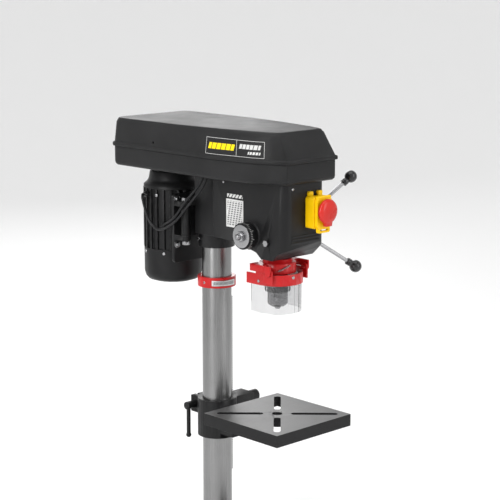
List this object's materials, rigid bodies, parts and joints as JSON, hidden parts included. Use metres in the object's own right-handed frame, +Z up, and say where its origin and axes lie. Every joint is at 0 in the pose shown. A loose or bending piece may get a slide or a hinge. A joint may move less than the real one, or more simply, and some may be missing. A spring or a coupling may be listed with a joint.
{
  "type": "bench drill press",
  "caption": "Belt-drive bench drill press with a round column, a rack-and-crank tilting table, a geared quill feed with ball handles, a hinged belt cover and a flip-up chuck guard.",
  "frame": {"origin": "on the column's axis, level with the underside of the base", "axes": "+Z up along the column, -Y to the front where the operator stands, +X to the side with the feed handles"},
  "size_m": [0.3567, 0.5896, 1.038],
  "materials": {
    "cast_black": "satin black enamel on cast iron and sheet",
    "column_steel": "ground and brushed steel",
    "guard_red": "glossy red enamel",
    "cover_grey": "fine textured charcoal powder coat",
    "table_grey": "ground cast iron top, black painted sides",
    "bright_steel": "bright zinc and chrome",
    "pulley_aluminium": "cast and turned aluminium",
    "belt_rubber": "V-belt rubber",
    "lead_rubber": "black cable sheath",
    "switch_yellow": "moulded yellow plastic",
    "stop_red": "moulded red plastic",
    "start_green": "moulded green plastic",
    "knob_black": "black phenolic",
    "clear_shield": "clear polycarbonate, lightly smoked"
  },
  "bodies": {
    "frame": {"base": "cast_black", "column_flange": "cast_black", "column": "column_steel", "rack_collar": "guard_red", "head_casting": "cast_black", "head_lock_screw": "bright_steel", "quill_lock_screw": "bright_steel", "belt_tray": "cover_grey", "lid_hinge_pin": "bright_steel", "spring_cap": "cast_black", "spring_cap_washer": "bright_steel", "spring_cap_nut": "bright_steel", "switch_box": "switch_yellow", "guard_collar": "guard_red", "idler_post": "bright_steel", "front_belt": "belt_rubber", "rear_belt": "belt_rubber", "motor_pivot_bolt_1": "bright_steel", "motor_pivot_bolt_2": "bright_steel"},
    "cover": {"cover_lid": "cover_grey"},
    "quill": {"quill": "bright_steel"},
    "spindle": {"spindle": "bright_steel", "chuck_body": "bright_steel"},
    "chuck_sleeve": {"chuck_sleeve": "bright_steel"},
    "jaw_1": {"chuck_jaw_1": "bright_steel"},
    "jaw_2": {"chuck_jaw_2": "bright_steel"},
    "jaw_3": {"chuck_jaw_3": "bright_steel"},
    "feed": {"pinion_shaft": "bright_steel", "feed_hub": "cast_black", "feed_rod_1": "bright_steel", "feed_rod_2": "bright_steel", "feed_rod_3": "bright_steel", "feed_knob_1": "knob_black", "feed_knob_2": "knob_black", "feed_knob_3": "knob_black"},
    "spindle_pulley": {"spindle_pulley": "pulley_aluminium"},
    "idler_pulley": {"idler_pulley": "pulley_aluminium"},
    "motor": {"motor_housing": "cast_black", "motor_bell": "cast_black", "fan_cowl": "cast_black", "motor_bracket": "cast_black", "motor_gland": "knob_black", "motor_lead_1": "lead_rubber", "motor_lead_2": "lead_rubber"},
    "rotor": {"motor_shaft": "bright_steel", "motor_pulley": "pulley_aluminium"},
    "rack": {"rack": "column_steel"},
    "bracket": {"table_bracket": "cast_black", "table_tilt_bolt": "bright_steel"},
    "lift_gear": {"lift_gear": "bright_steel"},
    "crank": {"crank_handle": "cast_black"},
    "table": {"table": "table_grey"},
    "lock_lever": {"table_lock_lever": "cast_black"},
    "switch_lid": {"switch_lid": "switch_yellow"},
    "stop_button": {"stop_button": "stop_red"},
    "start_button": {"start_button": "start_green"},
    "guard": {"guard_ring": "guard_red", "guard_shield": "clear_shield"}
  },
  "joints": [
    {"name": "lid_hinge", "type": "hinge", "parent": "frame", "child": "cover", "pos_m": [0.1325, 0.03, 0.971], "axis": [0, 1, 0], "range_deg": [0, 95]},
    {"name": "quill_feed", "type": "slide", "parent": "frame", "child": "quill", "axis": [0, 0, -1], "range_m": [0, 0.08], "stiffness_N_per_m": 300, "springref_m": -0.16},
    {"name": "feed_turn", "type": "hinge", "parent": "frame", "child": "feed", "pos_m": [0, -0.1804, 0.8], "axis": [1, 0, 0], "range_deg": [0, 505]},
    {"name": "spindle_spin", "type": "hinge", "parent": "quill", "child": "spindle", "pos_m": [0, -0.205, 0.8], "axis": [0, 0, 1], "continuous": true},
    {"name": "spindle_pulley_spin", "type": "hinge", "parent": "frame", "child": "spindle_pulley", "pos_m": [0, -0.205, 0.96], "axis": [0, 0, 1], "continuous": true},
    {"name": "idler_spin", "type": "hinge", "parent": "frame", "child": "idler_pulley", "pos_m": [0, -0.058, 0.96], "axis": [0, 0, 1], "continuous": true},
    {"name": "motor_swing", "type": "hinge", "parent": "frame", "child": "motor", "pos_m": [-0.066, 0.034, 0.805], "axis": [0, 0, 1], "range_deg": [-4, 0], "deforming": ["rear_belt", "motor_lead_1", "motor_lead_2"]},
    {"name": "motor_spin", "type": "hinge", "parent": "motor", "child": "rotor", "pos_m": [0, 0.156, 0.8], "axis": [0, 0, 1], "continuous": true},
    {"name": "chuck_turn", "type": "hinge", "parent": "spindle", "child": "chuck_sleeve", "pos_m": [0, -0.205, 0.69], "axis": [0, 0, 1], "range_deg": [0, 1080]},
    {"name": "jaw_1_slide", "type": "slide", "parent": "spindle", "child": "jaw_1", "axis": [0.866, 0.5, 0], "range_m": [0, 0.0071]},
    {"name": "jaw_2_slide", "type": "slide", "parent": "spindle", "child": "jaw_2", "axis": [-0.866, 0.5, 0], "range_m": [0, 0.0071]},
    {"name": "jaw_3_slide", "type": "slide", "parent": "spindle", "child": "jaw_3", "axis": [0, -1, 0], "range_m": [0, 0.0071]},
    {"name": "table_swing", "type": "hinge", "parent": "frame", "child": "rack", "pos_m": [0, 0, 0.375], "axis": [0, 0, 1], "range_deg": [-90, 90]},
    {"name": "table_lift", "type": "slide", "parent": "rack", "child": "bracket", "axis": [0, 0, 1], "range_m": [-0.13, 0.235]},
    {"name": "lift_gear_turn", "type": "hinge", "parent": "bracket", "child": "lift_gear", "pos_m": [0.0596, 0, 0.322], "axis": [0, 1, 0], "range_deg": [-975, 545]},
    {"name": "crank_turn", "type": "hinge", "parent": "bracket", "child": "crank", "pos_m": [0.06, 0, 0.352], "axis": [1, 0, 0], "range_deg": [-2140, 3860]},
    {"name": "table_tilt", "type": "hinge", "parent": "bracket", "child": "table", "pos_m": [0, -0.083, 0.32], "axis": [0, 1, 0], "range_deg": [-45, 45]},
    {"name": "lock_turn", "type": "hinge", "parent": "bracket", "child": "lock_lever", "pos_m": [0, 0.062, 0.345], "axis": [1, 0, 0], "range_deg": [0, 90]},
    {"name": "switch_lid_hinge", "type": "hinge", "parent": "frame", "child": "switch_lid", "pos_m": [0.0245, -0.3226, 0.892], "axis": [-1, 0, 0], "range_deg": [0, 85]},
    {"name": "stop_press", "type": "slide", "parent": "switch_lid", "child": "stop_button", "axis": [0, 1, 0], "range_m": [0, 0.004], "stiffness_N_per_m": 900, "springref_m": -0.003},
    {"name": "start_press", "type": "slide", "parent": "frame", "child": "start_button", "axis": [0, 1, 0], "range_m": [0, 0.0025], "stiffness_N_per_m": 700, "springref_m": -0.002},
    {"name": "guard_flip", "type": "hinge", "parent": "frame", "child": "guard", "pos_m": [0, -0.235, 0.719], "axis": [-1, 0, 0], "range_deg": [0, 90]}
  ],
  "couplings": [
    {"joint": "feed_turn", "follows": "quill_feed", "rad_per_m": 109.89},
    {"joint": "idler_spin", "follows": "motor_spin", "ratio": 1.0882},
    {"joint": "spindle_pulley_spin", "follows": "motor_spin", "ratio": 1.1765},
    {"joint": "spindle_spin", "follows": "motor_spin", "ratio": 1.1765},
    {"joint": "lift_gear_turn", "follows": "table_lift", "rad_per_m": -71.429},
    {"joint": "crank_turn", "follows": "table_lift", "rad_per_m": 285.6},
    {"joint": "jaw_1_slide", "follows": "chuck_turn", "m_per_rad": 0.00037136},
    {"joint": "jaw_2_slide", "follows": "chuck_turn", "m_per_rad": 0.00037136},
    {"joint": "jaw_3_slide", "follows": "chuck_turn", "m_per_rad": 0.00037136}
  ]
}
